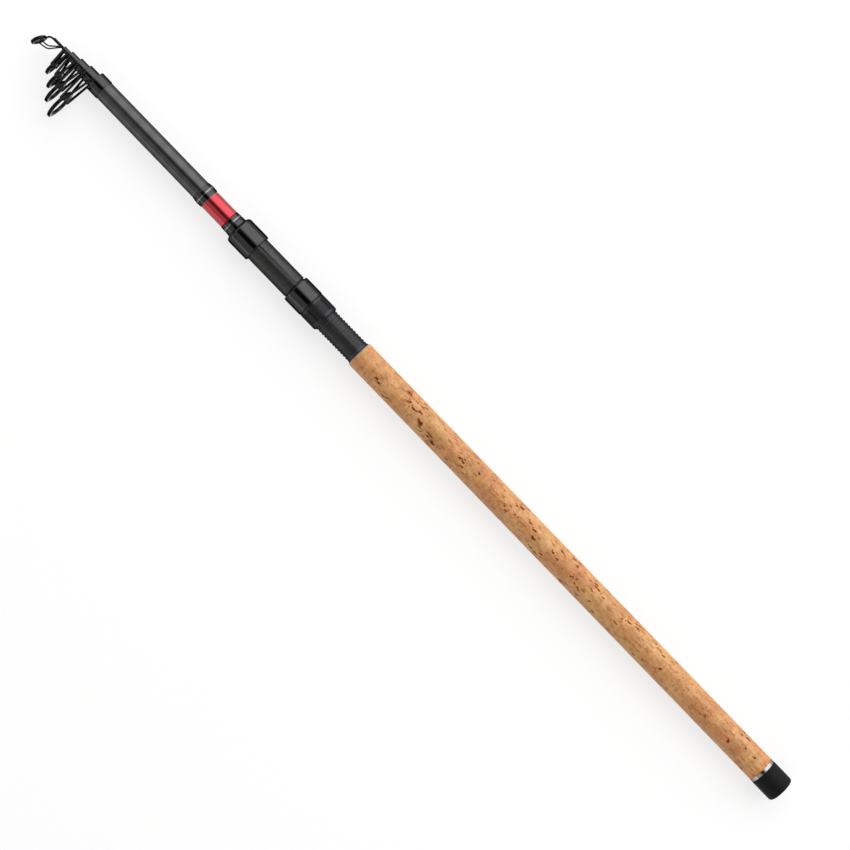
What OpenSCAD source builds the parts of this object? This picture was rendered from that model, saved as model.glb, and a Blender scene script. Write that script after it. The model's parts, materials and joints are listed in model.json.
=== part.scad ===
// Telescopic fishing rod, closed for carrying.
// It lies along X: the butt end is at the origin, the tip points to +X and the guides point to +Y.
// Six tapered sections slide out of each other and lock by their taper, mouth against rear end.

/* [Butt end] */
// Length of the rubber butt cap
cap_length = 25; // [20:0.1:34]
// Radius of the rubber butt cap
cap_r = 14.25; // [13.5:0.05:16]
// Rounding of the cap's end
cap_round_r = 3; // [2:0.1:6]
// Rubber left round the plug's head
cap_wall = 3; // [2.5:0.1:4]
// Rubber behind the plug's head
cap_floor = 6; // [4:0.1:9]
// Length of the bright ring between the cork and the cap
butt_ring_length = 3.6; // [2:0.1:5]
// Length of the plug's stud inside the insert
stud_length = 11; // [9:0.1:13]
// Thickness of the pad that the closed sections rest on
pad_length = 4; // [3:0.1:6]
// Length of the sleeve bonded into the rear end of the butt section
insert_length = 14.5; // [12:0.5:15]
// Wall of that sleeve
insert_wall = 0.75; // [0.6:0.05:0.8]

/* [Grip] */
// Length of the cork grip
grip_length = 548.5; // [500:0.5:600]
// Radius of the cork grip
grip_r = 14; // [13.5:0.05:15.5]
// Rounding of the grip's front shoulder
grip_round_r = 1.6; // [1:0.1:2.2]
// Length of the black collar in front of the cork
collar_length = 3.5; // [3:0.1:8]
// How far the collar's rear rim stands out of the threaded barrel
collar_flare = 0.6; // [0.2:0.05:0.8]
// How far the collar's front rim lies below the threaded barrel
collar_waist = 0.4; // [0.2:0.05:0.6]

/* [Reel seat] */
// Length of the threaded barrel, with the stretch under the nut and the hood
thread_length = 85; // [76:0.5:95]
// Length of the smooth part of the seat, with the stretch under the front hood
seat_length = 74; // [66:0.5:85]
// Wall of the seat's smooth part
seat_wall = 1.9; // [1.7:0.05:2.2]
// How far the thread's crest lies below the smooth part
thread_step = 0.3; // [0.2:0.05:0.5]
// Wall of the bushes between the blank and the seat
arbor_wall = 0.35; // [0.25:0.05:0.6]
// Length of one bush
arbor_length = 30; // [20:1:34]
// Number of bushes
arbor_count = 3; // [2:1:4]
// Width of the keyways along the seat
keyway_width = 1.4; // [1:0.1:2.2]
// Turn of the keyways away from the guides, from straight above and below
keyway_turn = 16; // [0:1:25]
// Depth of the keyways below the smooth part
keyway_depth = 0.7; // [0.6:0.05:0.9]

/* [Hoods and nut] */
// Length of the front hood
front_hood_length = 27; // [22:0.5:30]
// Wall of the front hood
front_hood_wall = 2.25; // [2:0.05:2.8]
// Rounding of the front hood's nose
hood_round_r = 3.6; // [2:0.1:3.9]
// Rounding of the front hood's mouth
hood_mouth_round_r = 1.2; // [0.8:0.1:1.9]
// Length of the front hood's lip in front of the seat
hood_lip_length = 3; // [2.5:0.1:4]
// Length of the moving hood
moving_hood_length = 21.9; // [20:0.1:26]
// Wall of the moving hood's shell
shell_wall = 1.4; // [1.2:0.05:1.8]
// Rounding of the moving hood's mouth
shell_mouth_r = 1.7; // [1:0.1:1.9]
// Thickness of the lip that closes the shell's mouth over the liner
shell_lip = 1.4; // [1:0.1:2]
// Bevel of the moving hood's rear end
shell_edge_r = 0.7; // [0.4:0.05:0.9]
// Wall of the moving hood's liner
liner_wall = 0.6; // [0.5:0.05:0.9]
// Length of the pocket that takes an end of the reel foot
pocket_length = 17; // [14:0.5:18]
// How far the pocket reaches round the hood, to each side
pocket_half_angle = 45; // [35:1:55]
// Metal left outside the pocket
pocket_wall = 0.7; // [0.5:0.05:0.9]
// Length of the lock nut
nut_length = 20.2; // [15:0.1:24]
// Radius of the lock nut
nut_r = 14.45; // [14.2:0.05:15]
// Number of flutes round the nut
nut_flutes = 5; // [4:1:12]
// Depth of a flute
flute_depth = 0.8; // [0.4:0.05:0.9]
// Radius of the cutter that leaves a flute
flute_cutter_r = 1.4; // [1.2:0.1:2]
// Turn of the flutes from straight above, as the nut was left
flute_turn = 45; // [0:1:71]
// Plain rim left at each end of the flutes
flute_rim = 2.6; // [0.8:0.1:4]
// Chamfer of the nut's rear end
nut_chamfer = 1.6; // [0.6:0.1:1.8]
// Length of the nut's neck inside the moving hood
neck_length = 3; // [2:0.1:3.5]
// Thread left bare between the collar and the nut
nut_set_forward = 41; // [30:0.5:45]

/* [Wraps] */
// Length of the black check against the reel seat
check_length = 4.8; // [4:0.1:8]
// Wall of the check at the reel seat
check_wall = 1.05; // [0.8:0.05:1.3]
// Wall of the check at the whipping
check_front_wall = 0.65; // [0.5:0.05:0.9]
// Length of the rear whipping
rear_wrap_length = 6.6; // [5.5:0.1:9]
// Thickness of the rear whipping
rear_wrap_wall = 0.5; // [0.45:0.05:0.7]
// Whipping left behind the rear bright ring
rear_ring_inset = 0.9; // [0.8:0.1:1.5]
// Length of the red band
band_length = 27; // [20:0.5:34]
// Thickness of the red band
band_wall = 0.2; // [0.15:0.05:0.4]
// Length of the front whipping
front_wrap_length = 12; // [11:0.1:14]
// Whipping left behind the front bright ring
front_ring_inset = 5; // [3:0.1:5.8]
// Thickness of the front whipping
front_wrap_wall = 0.9; // [0.75:0.05:1.1]
// Length of the rear whipping's ramp at each end
rear_wrap_ramp = 0.7; // [0.5:0.05:0.8]
// Length of the front whipping's ramp up from the red band
front_wrap_rear_ramp = 2; // [1:0.1:3]
// Length of the front whipping's ramp down to the bare blank
front_wrap_front_ramp = 4; // [2:0.1:4.2]
// Width of a bright ring in a whipping
trim_width = 1.6; // [1:0.1:2.2]
// Thickness of a bright ring in a whipping
trim_wall = 0.4; // [0.35:0.05:0.5]
// Depth of the groove that a bright ring lies in
trim_sunk = 0.25; // [0.15:0.05:0.35]
// Length of the ring round the butt section's mouth
mouth_collar_length = 12.5; // [9:0.5:18]
// Wall of that ring
mouth_collar_wall = 0.65; // [0.5:0.05:0.9]

/* [Sections] */
// Length of the butt section
butt_length = 912.5; // [890:0.5:940]
// Outer radius of the butt section at its mouth
butt_mouth_r = 10; // [9.8:0.05:10.2]
// Outer radius of the second section at its mouth
section_2_mouth_r = 7.15; // [6.9:0.05:7.4]
// Outer radius of the third section at its mouth
section_3_mouth_r = 5.5; // [5.3:0.05:5.7]
// Outer radius of the fourth section at its mouth
section_4_mouth_r = 3.85; // [3.7:0.05:4]
// Outer radius of the fifth section at its mouth
section_5_mouth_r = 2.2; // [2.1:0.05:2.3]
// Radius of the solid tip section at its end
tip_end_r = 0.75; // [0.6:0.05:0.9]
// Wall of the butt section
butt_wall = 1.9; // [1.75:0.05:2]
// Wall of the second section
section_2_wall = 0.7; // [0.6:0.05:0.8]
// Wall of the third section
section_3_wall = 0.68; // [0.6:0.02:0.8]
// Wall of the fourth section
section_4_wall = 0.66; // [0.6:0.02:0.8]
// Wall of the fifth section
section_5_wall = 0.44; // [0.4:0.02:0.5]
// Growth of the butt section's radius for each millimetre back from its mouth
butt_taper = 0.001; // [0.0006:0.0001:0.0012]
// Length of the second section inside the butt section when drawn out
butt_overlap = 80; // [60:1:100]
// Length of the third section inside the second when drawn out
section_2_overlap = 70; // [50:1:90]
// Length of the fourth section inside the third when drawn out
section_3_overlap = 60; // [45:1:80]
// Length of the fifth section inside the fourth when drawn out
section_4_overlap = 50; // [40:1:70]
// Length of the tip section inside the fifth when drawn out
section_5_overlap = 35; // [30:1:60]

/* [Guides] */
// Length of the first guide's collar, the one nearest the reel
guide_1_collar = 12.4; // [10:0.1:14]
// Length of the second guide's collar
guide_2_collar = 10.7; // [9.5:0.1:13]
// Length of the third guide's collar
guide_3_collar = 10.4; // [9.5:0.1:13]
// Length of the fourth guide's collar
guide_4_collar = 8.5; // [8:0.1:11]
// Height of the first guide's ring over the rod's axis
guide_1_height = 39.3; // [34:0.1:44]
// Height of the second guide's ring
guide_2_height = 33.8; // [29:0.1:38]
// Height of the third guide's ring
guide_3_height = 26.2; // [22:0.1:30]
// Height of the fourth guide's ring
guide_4_height = 20.7; // [17:0.1:24]
// Outer diameter of the first guide's hoop
guide_1_hoop_d = 32; // [28:0.1:34]
// Outer diameter of the second guide's hoop
guide_2_hoop_d = 27; // [24:0.1:29]
// Outer diameter of the third guide's hoop
guide_3_hoop_d = 21.5; // [19:0.1:23]
// Outer diameter of the fourth guide's hoop
guide_4_hoop_d = 15.5; // [14:0.1:17]
// How far the first guide's ring leans towards the tip, as its wire was bent
guide_1_lean = 0.8; // [-2:0.1:2]
// How far the second guide's ring leans towards the tip
guide_2_lean = 0.7; // [-2:0.1:2]
// How far the third guide's ring leans towards the tip
guide_3_lean = -1.8; // [-2:0.1:2]
// How far the fourth guide's ring leans towards the tip
guide_4_lean = -1.2; // [-2:0.1:2]
// Wall of a guide's collar
guide_collar_wall = 0.6; // [0.5:0.05:0.8]
// Wall of a guide's hoop
hoop_wall = 1.2; // [1:0.05:1.4]
// Width of a guide's hoop along the rod
hoop_width = 2.6; // [2:0.1:3]
// Radius of the wire of a guide's legs
leg_r = 1; // [0.8:0.05:1.2]
// How far the legs' feet stay inside the ends of the collar
leg_inset = 1.6; // [1.2:0.1:2.2]
// Where the legs join the hoop, as an angle from its side nearest the rod
leg_join_angle = 70; // [60:1:74]
// Distance between the front and the rear leg where they join the hoop
leg_top_spread = 3; // [2:0.1:3.4]
// Wall of the ceramic ring
ring_wall = 3; // [2.2:0.1:3.2]
// Width of the ceramic ring along the rod
ring_width = 3.6; // [3:0.1:4]

/* [Tip-top] */
// Length of the tube over the end of the tip section
tip_tube_length = 12.5; // [10:0.1:15]
// Wall of that tube
tip_tube_wall = 0.65; // [0.5:0.05:0.8]
// Metal that closes the tube's front end
tip_tube_floor = 0.8; // [0.6:0.1:1.2]
// Outer diameter of the tip-top's hoop
tip_hoop_d = 15.6; // [14:0.1:17]
// Height of the tip-top's ring over the rod's axis
tip_ring_height = 11.4; // [10.5:0.1:12.5]
// Distance of the tip-top's ring in front of its tube
tip_ring_ahead = 8.7; // [8:0.1:10]
// Lean of the tip-top's ring towards the tip
tip_ring_lean = 25; // [20:1:30]
// Turn of the tip section about the rod's axis, as it was slid in
tip_twist = 14; // [0:1:20]
// Radius of the tip-top's two long wires
tip_wire_r = 0.7; // [0.5:0.05:0.8]
// Radius of the short wire in front of the tube
tip_brace_r = 1; // [0.7:0.05:1.1]
// Wall of the tip-top's hoop
tip_hoop_wall = 1.1; // [0.9:0.05:1.3]
// Wall of the tip-top's ceramic ring
tip_ring_wall = 2; // [1.6:0.1:2.2]
// Where the two long wires join the hoop, as an angle from its edge nearest the rod
tip_join_angle = 92; // [80:1:100]
// Distance of the two long wires' bend in front of the tube's rear end
tip_bend_ahead = 9.7; // [8.5:0.1:11]
// Height of that bend over the rod's axis
tip_bend_height = 9.6; // [8.5:0.1:10.5]
// Distance of that bend from the middle, to each side
tip_bend_side = 4.3; // [3.8:0.1:4.8]
// Distance of the short wire's bend in front of the tube
tip_brace_ahead = 4.1; // [3.5:0.1:4.6]
// Height of the short wire's bend over the rod's axis
tip_brace_height = 1.9; // [1.5:0.1:2.4]

/* [Fits] */
// Glue line between bonded pieces
bond_gap = 0.05; // [0.03:0.01:0.08]
// Gap between a section's taper and the mouth it locks in, when drawn out
ferrule_gap = 0.1; // [0.06:0.01:0.15]
// Gap between pieces that come to rest against each other
seat_gap = 0.3; // [0.2:0.05:0.5]
// Running gap of the lock nut on the thread and in the hood
running_gap = 0.08; // [0.05:0.01:0.1]
// Sliding gap between the moving hood and the seat
hood_gap = 0.1; // [0.06:0.01:0.15]

/* [Hidden] */
$fn = 96;
arc_steps = 8;
cut = 1;

// Stations along the rod, from the butt end
butt_rear_x = cap_length + seat_gap;
grip_x = butt_rear_x + butt_ring_length;
collar_x = grip_x + grip_length;
thread_x = collar_x + collar_length;
seat_x = thread_x + thread_length;
seat_end_x = seat_x + seat_length;
nut_x = thread_x + nut_set_forward;
hood_x = nut_x + nut_length + seat_gap;
front_hood_x = seat_end_x + hood_lip_length - front_hood_length;
check_x = seat_end_x + hood_lip_length;
rear_wrap_x = check_x + check_length;
band_x = rear_wrap_x + rear_wrap_length;
front_wrap_x = band_x + band_length;
front_groove_x = front_wrap_x + front_ring_inset;
rear_groove_x = rear_wrap_x + rear_ring_inset;
butt_mouth_x = butt_rear_x + butt_length;
pad_x = butt_rear_x + stud_length;
rear_x = pad_x + pad_length + seat_gap;

// The sections in order from the butt to the tip
mouth_r = [
    butt_mouth_r, section_2_mouth_r, section_3_mouth_r, section_4_mouth_r, section_5_mouth_r, tip_end_r
];
wall = [butt_wall, section_2_wall, section_3_wall, section_4_wall, section_5_wall];
overlap = [butt_overlap, section_2_overlap, section_3_overlap, section_4_overlap, section_5_overlap];
step_length = [0, guide_1_collar, guide_2_collar, guide_3_collar, guide_4_collar, tip_tube_length - tip_tube_floor];
guide_height = [0, guide_1_height, guide_2_height, guide_3_height, guide_4_height];
hoop_r = [0, guide_1_hoop_d / 2, guide_2_hoop_d / 2, guide_3_hoop_d / 2, guide_4_hoop_d / 2];
guide_lean = [0, guide_1_lean, guide_2_lean, guide_3_lean, guide_4_lean];
tip = len(mouth_r) - 1;

// Where section i ends, and how its outside tapers back from there
function mouth_x(i) = i == 0 ? butt_mouth_x : mouth_x(i - 1) + seat_gap + step_length[i];
function bore_r(i) = mouth_r[i] - wall[i];
function rear_r(i) = bore_r(i - 1) + taper(i - 1) * overlap[i - 1] - ferrule_gap;
function taper(i) = i == 0 ? butt_taper : (rear_r(i) - mouth_r[i]) / (mouth_x(i) - rear_x);
function outer_r(i, x) = mouth_r[i] + taper(i) * (mouth_x(i) - x);
function inner_r(i, x) = outer_r(i, x) - wall[i];
function bonded_r(x) = outer_r(0, x) + bond_gap;
function guide_ring_x(i) = mouth_x(i) - step_length[i] / 2 + guide_lean[i];

// Radii round the reel seat, outwards from the blank
arbor_r = bonded_r(thread_x) + arbor_wall;
seat_bore_r = arbor_r + bond_gap;
seat_r = seat_bore_r + seat_wall;
thread_r = seat_r - thread_step;
keyway_floor_r = seat_r - keyway_depth;
liner_bore_r = seat_r + hood_gap;
shell_bore_r = liner_bore_r + liner_wall + bond_gap;
shell_r = shell_bore_r + shell_wall;
front_hood_r = seat_r + bond_gap + front_hood_wall;
nut_bore_r = thread_r + running_gap;
neck_r = shell_bore_r - running_gap;

// Radii in the butt end
insert_r = inner_r(0, butt_rear_x) - bond_gap - butt_taper * insert_length;
insert_bore_r = insert_r - insert_wall;
stud_r = insert_bore_r - running_gap;
plug_head_r = cap_r - cap_wall;

// A round stretch of an outline, as points on a circle about c
function arc(c, r, from, to) = [
    for (i = [0:arc_steps])
        let (a = from + (to - from) * i / arc_steps) [c[0] + r * cos(a), c[1] + r * sin(a)]
];

// Turns an outline of [radius, station] points about the rod's axis
module turned(outline, angle = 360) {
    rotate([0, 90, 0]) rotate_extrude(angle = angle) polygon(outline);
}

// A ring or tube from one station to another, straight or tapered, inside and outside
module sleeve(x0, x1, in0, in1, out0, out1) {
    turned([[in0, x0], [out0, x0], [out1, x1], [in1, x1]]);
}

// A ring bonded on the butt section, following its taper inside
module bonded_ring(x0, x1, r0, r1) {
    sleeve(x0, x1, bonded_r(x0), bonded_r(x1), r0, r1);
}

// A solid round bar along the rod
module bar(x0, x1, r) {
    translate([x0, 0, 0]) rotate([0, 90, 0]) cylinder(h = x1 - x0, r = r);
}

// A straight wire between two points
module wire(a, b, r) {
    d = b - a;
    translate(a) rotate([0, acos(d[2] / norm(d)), atan2(d[1], d[0])]) cylinder(h = norm(d), r = r);
}

// A whipping that ramps up from both ends, with a groove for its bright ring
module whipping(x, length, thickness, groove_x, rear_ramp, front_ramp) {
    end_x = x + length;
    r = outer_r(0, x) + thickness;
    edge_r = outer_r(0, x) + thickness / 3;
    floor_r = r - trim_sunk;
    difference() {
        turned([
            [bonded_r(x), x],
            [edge_r, x],
            [r, x + rear_ramp],
            [r, end_x - front_ramp],
            [edge_r, end_x],
            [bonded_r(end_x), end_x]
        ]);
        sleeve(groove_x, groove_x + trim_width, floor_r, floor_r, r + cut, r + cut);
    }
}

// The bright ring that lies in a whipping's groove
module whipping_ring(x, thickness, groove_x) {
    in_r = outer_r(0, x) + thickness - trim_sunk + bond_gap;
    out_r = in_r + trim_wall;
    sleeve(groove_x + bond_gap, groove_x + trim_width - bond_gap, in_r, in_r, out_r, out_r);
}

// The tube of section i
module section_tube(i) {
    x0 = i == 0 ? butt_rear_x : rear_x;
    x1 = mouth_x(i);
    color("dimgray") sleeve(x0, x1, inner_r(i, x0), inner_r(i, x1), outer_r(i, x0), outer_r(i, x1));
}

// The space that takes an end of the reel foot, on the guides' side of a hood
module foot_pocket(x0, x1, r0, r1) {
    rotate([90 - pocket_half_angle, 0, 0])
        mirror([0, 0, 1])
        turned([[r0, x0], [r1, x0], [r1, x1], [r0, x1]], 2 * pocket_half_angle);
}

// The two slots along the seat, above and below, from one station to another
module keyways(x0, x1, width, floor_r, top_r) {
    for (turn = [keyway_turn, keyway_turn + 180])
        rotate([turn, 0, 0])
            translate([x0, -width / 2, floor_r])
            cube([x1 - x0, width, top_r - floor_r]);
}

module butt_blank() {
    section_tube(0);
}

module mouth_collar() {
    x0 = butt_mouth_x - mouth_collar_length;
    r = outer_r(0, x0) + mouth_collar_wall;
    color("black") bonded_ring(x0, butt_mouth_x, r, r);
}

module front_wrap() {
    color("black") whipping(
        front_wrap_x, front_wrap_length, front_wrap_wall, front_groove_x, front_wrap_rear_ramp, front_wrap_front_ramp
    );
}

module front_trim_ring() {
    color("silver") whipping_ring(front_wrap_x, front_wrap_wall, front_groove_x);
}

module red_band() {
    r0 = bonded_r(band_x) + band_wall;
    r1 = bonded_r(front_wrap_x) + band_wall;
    color("crimson") bonded_ring(band_x, front_wrap_x, r0, r1);
}

module rear_wrap() {
    color("black") whipping(
        rear_wrap_x, rear_wrap_length, rear_wrap_wall, rear_groove_x, rear_wrap_ramp, rear_wrap_ramp
    );
}

module rear_trim_ring() {
    color("silver") whipping_ring(rear_wrap_x, rear_wrap_wall, rear_groove_x);
}

module winding_check() {
    rear_rim_r = bonded_r(check_x) + check_wall;
    front_rim_r = bonded_r(rear_wrap_x) + check_front_wall;
    color("black") bonded_ring(check_x, rear_wrap_x, rear_rim_r, front_rim_r);
}

// One tube: a barrel for the nut's thread and a smooth part for the reel foot, keyed above and below
module reel_seat() {
    color("darkslategray") difference() {
        turned([
            [seat_bore_r, thread_x],
            [thread_r, thread_x],
            [thread_r, seat_x],
            [seat_r, seat_x],
            [seat_r, seat_end_x],
            [seat_bore_r, seat_end_x]
        ]);
        keyways(thread_x - cut, front_hood_x, keyway_width, keyway_floor_r, seat_r + cut);
    }
}

module seat_arbors() {
    share = (thread_length + seat_length) / arbor_count;
    color("tan") for (i = [0:arbor_count - 1]) {
        x = thread_x + i * share + (share - arbor_length) / 2;
        bonded_ring(x, x + arbor_length, arbor_r, arbor_r);
    }
}

// A cap that closes the seat's front end, with a rounded nose and a pocket open to the rear
module front_hood() {
    end_x = front_hood_x + front_hood_length;
    lip_r = bonded_r(seat_end_x);
    fit_r = seat_r + bond_gap;
    color("dimgray") difference() {
        turned(concat(
            [[fit_r, front_hood_x]],
            arc([front_hood_r - hood_mouth_round_r, front_hood_x + hood_mouth_round_r], hood_mouth_round_r, -90, 0),
            arc([front_hood_r - hood_round_r, end_x - hood_round_r], hood_round_r, 0, 90),
            [[lip_r, end_x], [lip_r, seat_end_x], [fit_r, seat_end_x]]
        ));
        foot_pocket(front_hood_x - cut, front_hood_x + pocket_length, seat_r, front_hood_r - pocket_wall);
    }
}

module rear_collar() {
    color("black") bonded_ring(collar_x, thread_x, thread_r + collar_flare, thread_r - collar_waist);
}

module cork_grip() {
    color("burlywood") turned(concat(
        [[bonded_r(grip_x), grip_x], [grip_r, grip_x]],
        arc([grip_r - grip_round_r, collar_x - grip_round_r], grip_round_r, 0, 90),
        [[bonded_r(collar_x), collar_x]]
    ));
}

module butt_trim_ring() {
    color("silver") bonded_ring(butt_rear_x, grip_x, grip_r, grip_r);
}

module plug_insert() {
    color("silver") sleeve(
        butt_rear_x, butt_rear_x + insert_length, insert_bore_r, insert_bore_r, insert_r, insert_r
    );
}

module butt_cap() {
    color("black") difference() {
        turned(concat(
            [[0, 0]],
            arc([cap_r - cap_round_r, cap_round_r], cap_round_r, -90, 0),
            [[cap_r, cap_length], [0, cap_length]]
        ));
        bar(cap_floor, cap_length + cut, plug_head_r + bond_gap);
    }
}

module butt_plug() {
    color("gray") union() {
        bar(cap_floor + bond_gap, cap_length, plug_head_r);
        bar(cap_length - cut, pad_x, stud_r);
    }
}

module cushion_pad() {
    color("dimgray") bar(pad_x, pad_x + pad_length, stud_r);
}

// The hood's shell: a cup bored for the liner and, at its rear, for the nut's neck, with a rounded lip in front
module moving_hood() {
    end_x = hood_x + moving_hood_length;
    color("dimgray") difference() {
        turned(concat(
            [[shell_bore_r, hood_x], [shell_r - shell_edge_r, hood_x], [shell_r, hood_x + shell_edge_r]],
            arc([shell_r - shell_mouth_r, end_x - shell_mouth_r], shell_mouth_r, 0, 90),
            [[liner_bore_r, end_x], [liner_bore_r, end_x - shell_lip], [shell_bore_r, end_x - shell_lip]]
        ));
        foot_pocket(end_x - pocket_length, end_x + cut, seat_r, shell_r - pocket_wall);
    }
}

// The liner, open at the pocket, with two keys that slide in the seat's keyways
module hood_liner() {
    x0 = hood_x + neck_length + seat_gap;
    x1 = hood_x + moving_hood_length - shell_lip - bond_gap;
    liner_r = liner_bore_r + liner_wall;
    key_width = keyway_width - 2 * hood_gap;
    color("dimgray") difference() {
        union() {
            sleeve(x0, x1, liner_bore_r, liner_bore_r, liner_r, liner_r);
            keyways(x0, x1, key_width, keyway_floor_r + hood_gap, liner_bore_r + liner_wall / 2);
        }
        foot_pocket(x1 + shell_lip + bond_gap - pocket_length, x1 + cut, seat_r, liner_r + cut);
    }
}

// The nut: a barrel fluted between two plain rims, with a chamfered rear end and a neck that turns inside the hood
module lock_nut() {
    end_x = nut_x + nut_length;
    flute_at_r = nut_r - flute_depth + flute_cutter_r;
    color("dimgray") difference() {
        turned([
            [nut_bore_r, nut_x],
            [nut_r - nut_chamfer, nut_x],
            [nut_r, nut_x + nut_chamfer],
            [nut_r, end_x],
            [neck_r, end_x],
            [neck_r, end_x + seat_gap + neck_length],
            [nut_bore_r, end_x + seat_gap + neck_length]
        ]);
        for (i = [0:nut_flutes - 1])
            rotate([flute_turn + i * 360 / nut_flutes, 0, 0])
                translate([0, 0, flute_at_r])
                bar(nut_x + nut_chamfer + flute_rim, end_x - flute_rim, flute_cutter_r);
    }
}

module section_2() {
    section_tube(1);
}

module section_3() {
    section_tube(2);
}

module section_4() {
    section_tube(3);
}

module section_5() {
    section_tube(4);
}

module tip_section() {
    color("dimgray") turned([[0, rear_x], [rear_r(tip), rear_x], [tip_end_r, mouth_x(tip)], [0, mouth_x(tip)]]);
}

// The guide on section i: a collar on the section's mouth, a hoop, and on each side a front and a rear leg
module guide_frame(i) {
    x1 = mouth_x(i);
    x0 = x1 - step_length[i];
    middle_x = (x0 + x1) / 2;
    ring_x = guide_ring_x(i);
    fit_r = outer_r(i, x0) + bond_gap;
    collar_r = fit_r + guide_collar_wall;
    foot_x = step_length[i] / 2 - leg_inset;
    join_r = hoop_r[i] - hoop_wall / 2;
    hoop_in_r = hoop_r[i] - hoop_wall;
    color("dimgray") difference() {
        union() {
            sleeve(x0, x1, fit_r - cut / 2, fit_r - cut / 2, collar_r, collar_r);
            translate([ring_x, guide_height[i], 0])
                sleeve(-hoop_width / 2, hoop_width / 2, hoop_in_r, hoop_in_r, hoop_r[i], hoop_r[i]);
            for (end = [-1, 1], side = [-1, 1]) {
                foot = [middle_x + end * foot_x, 0, side * (collar_r - leg_r / 2)];
                join = [
                    ring_x + end * leg_top_spread / 2,
                    guide_height[i] - join_r * cos(leg_join_angle),
                    side * join_r * sin(leg_join_angle)
                ];
                wire(foot, join, leg_r);
            }
        }
        bar(x0 - cut, x1 + cut, fit_r);
        translate([ring_x, guide_height[i], 0]) bar(-ring_width, ring_width, hoop_in_r);
    }
}

// The ceramic ring in a hoop, round on the side that the line runs over
module guide_ring(out_r, ring_w, thickness) {
    nose_r = ring_w / 2;
    color("darkslategray") turned(concat(
        [[out_r, ring_w / 2]],
        arc([out_r - thickness + nose_r, 0], nose_r, 90, 270),
        [[out_r, -ring_w / 2]]
    ));
}

module guide_ring_in_place(i) {
    translate([guide_ring_x(i), guide_height[i], 0])
        guide_ring(hoop_r[i] - hoop_wall - bond_gap, ring_width, ring_wall);
}

module guide_1_frame() {
    guide_frame(1);
}

module guide_1_ring() {
    guide_ring_in_place(1);
}

module guide_2_frame() {
    guide_frame(2);
}

module guide_2_ring() {
    guide_ring_in_place(2);
}

module guide_3_frame() {
    guide_frame(3);
}

module guide_3_ring() {
    guide_ring_in_place(3);
}

module guide_4_frame() {
    guide_frame(4);
}

module guide_4_ring() {
    guide_ring_in_place(4);
}

// The tip-top: a tube on the tip, a leaning hoop, a short wire to its near edge and two long ones to its sides
tip_tube_x = mouth_x(tip - 1) + seat_gap;
tip_tube_end_x = tip_tube_x + tip_tube_length;
tip_ring_at = [tip_tube_end_x + tip_ring_ahead, tip_ring_height, 0];
tip_hoop_r = tip_hoop_d / 2;
tip_hoop_in_r = tip_hoop_r - tip_hoop_wall;

module at_tip_ring() {
    translate(tip_ring_at) rotate([0, 0, -tip_ring_lean]) children();
}

// A point on the tip-top's hoop, at an angle from its edge nearest the rod
function on_tip_hoop(angle, side) = let (
    r = tip_hoop_r - tip_hoop_wall / 2,
    across = -r * cos(angle)
) [
    tip_ring_at[0] + across * sin(tip_ring_lean),
    tip_ring_at[1] + across * cos(tip_ring_lean),
    side * r * sin(angle)
];

module tip_top_frame() {
    fit_r = outer_r(tip, tip_tube_x) + bond_gap;
    tube_r = fit_r + tip_tube_wall;
    brace_end = on_tip_hoop(0, 0);
    brace_bend = [tip_tube_end_x + tip_brace_ahead, tip_brace_height, 0];
    brace_foot = [tip_tube_end_x - tip_brace_r, 0, 0];
    color("dimgray") rotate([tip_twist, 0, 0]) difference() {
        union() {
            bar(tip_tube_x, tip_tube_end_x, tube_r);
            wire(brace_foot, brace_bend, tip_brace_r);
            translate(brace_bend) sphere(r = tip_brace_r + bond_gap);
            wire(brace_bend, brace_end, tip_brace_r);
            at_tip_ring()
                sleeve(-hoop_width / 2, hoop_width / 2, tip_hoop_in_r, tip_hoop_in_r, tip_hoop_r, tip_hoop_r);
            for (side = [-1, 1]) {
                foot = [tip_tube_x + leg_inset, 0, side * (tube_r - tip_wire_r / 2)];
                bend = [tip_tube_x + tip_bend_ahead, tip_bend_height, side * tip_bend_side];
                wire(foot, bend, tip_wire_r);
                translate(bend) sphere(r = tip_wire_r + bond_gap);
                wire(bend, on_tip_hoop(tip_join_angle, side), tip_wire_r);
            }
        }
        bar(tip_tube_x - cut, tip_tube_end_x - tip_tube_floor, fit_r);
        at_tip_ring() bar(-ring_width, ring_width, tip_hoop_in_r);
    }
}

module tip_top_ring() {
    rotate([tip_twist, 0, 0]) at_tip_ring() guide_ring(tip_hoop_in_r - bond_gap, ring_width, tip_ring_wall);
}

butt_blank();
mouth_collar();
front_wrap();
front_trim_ring();
red_band();
rear_wrap();
rear_trim_ring();
winding_check();
reel_seat();
front_hood();
seat_arbors();
rear_collar();
cork_grip();
butt_trim_ring();
plug_insert();
butt_cap();
butt_plug();
cushion_pad();
moving_hood();
hood_liner();
lock_nut();
section_2();
guide_1_frame();
guide_1_ring();
section_3();
guide_2_frame();
guide_2_ring();
section_4();
guide_3_frame();
guide_3_ring();
section_5();
guide_4_frame();
guide_4_ring();
tip_section();
tip_top_frame();
tip_top_ring();
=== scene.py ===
# %% [markdown]
# # A telescopic fishing rod, slid together
# The CAD model gives every piece its place, size and joint. This lesson dresses it for a close look: each piece
# that shows is shaped again with rounded edges and surface detail, gets its real finish, and rides on the CAD body
# that carries it. The frame is loaded first, because every place is read from it.

# %% The frame
import json
import math
import random

import bpy
from mathutils import Matrix, Vector, noise


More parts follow.
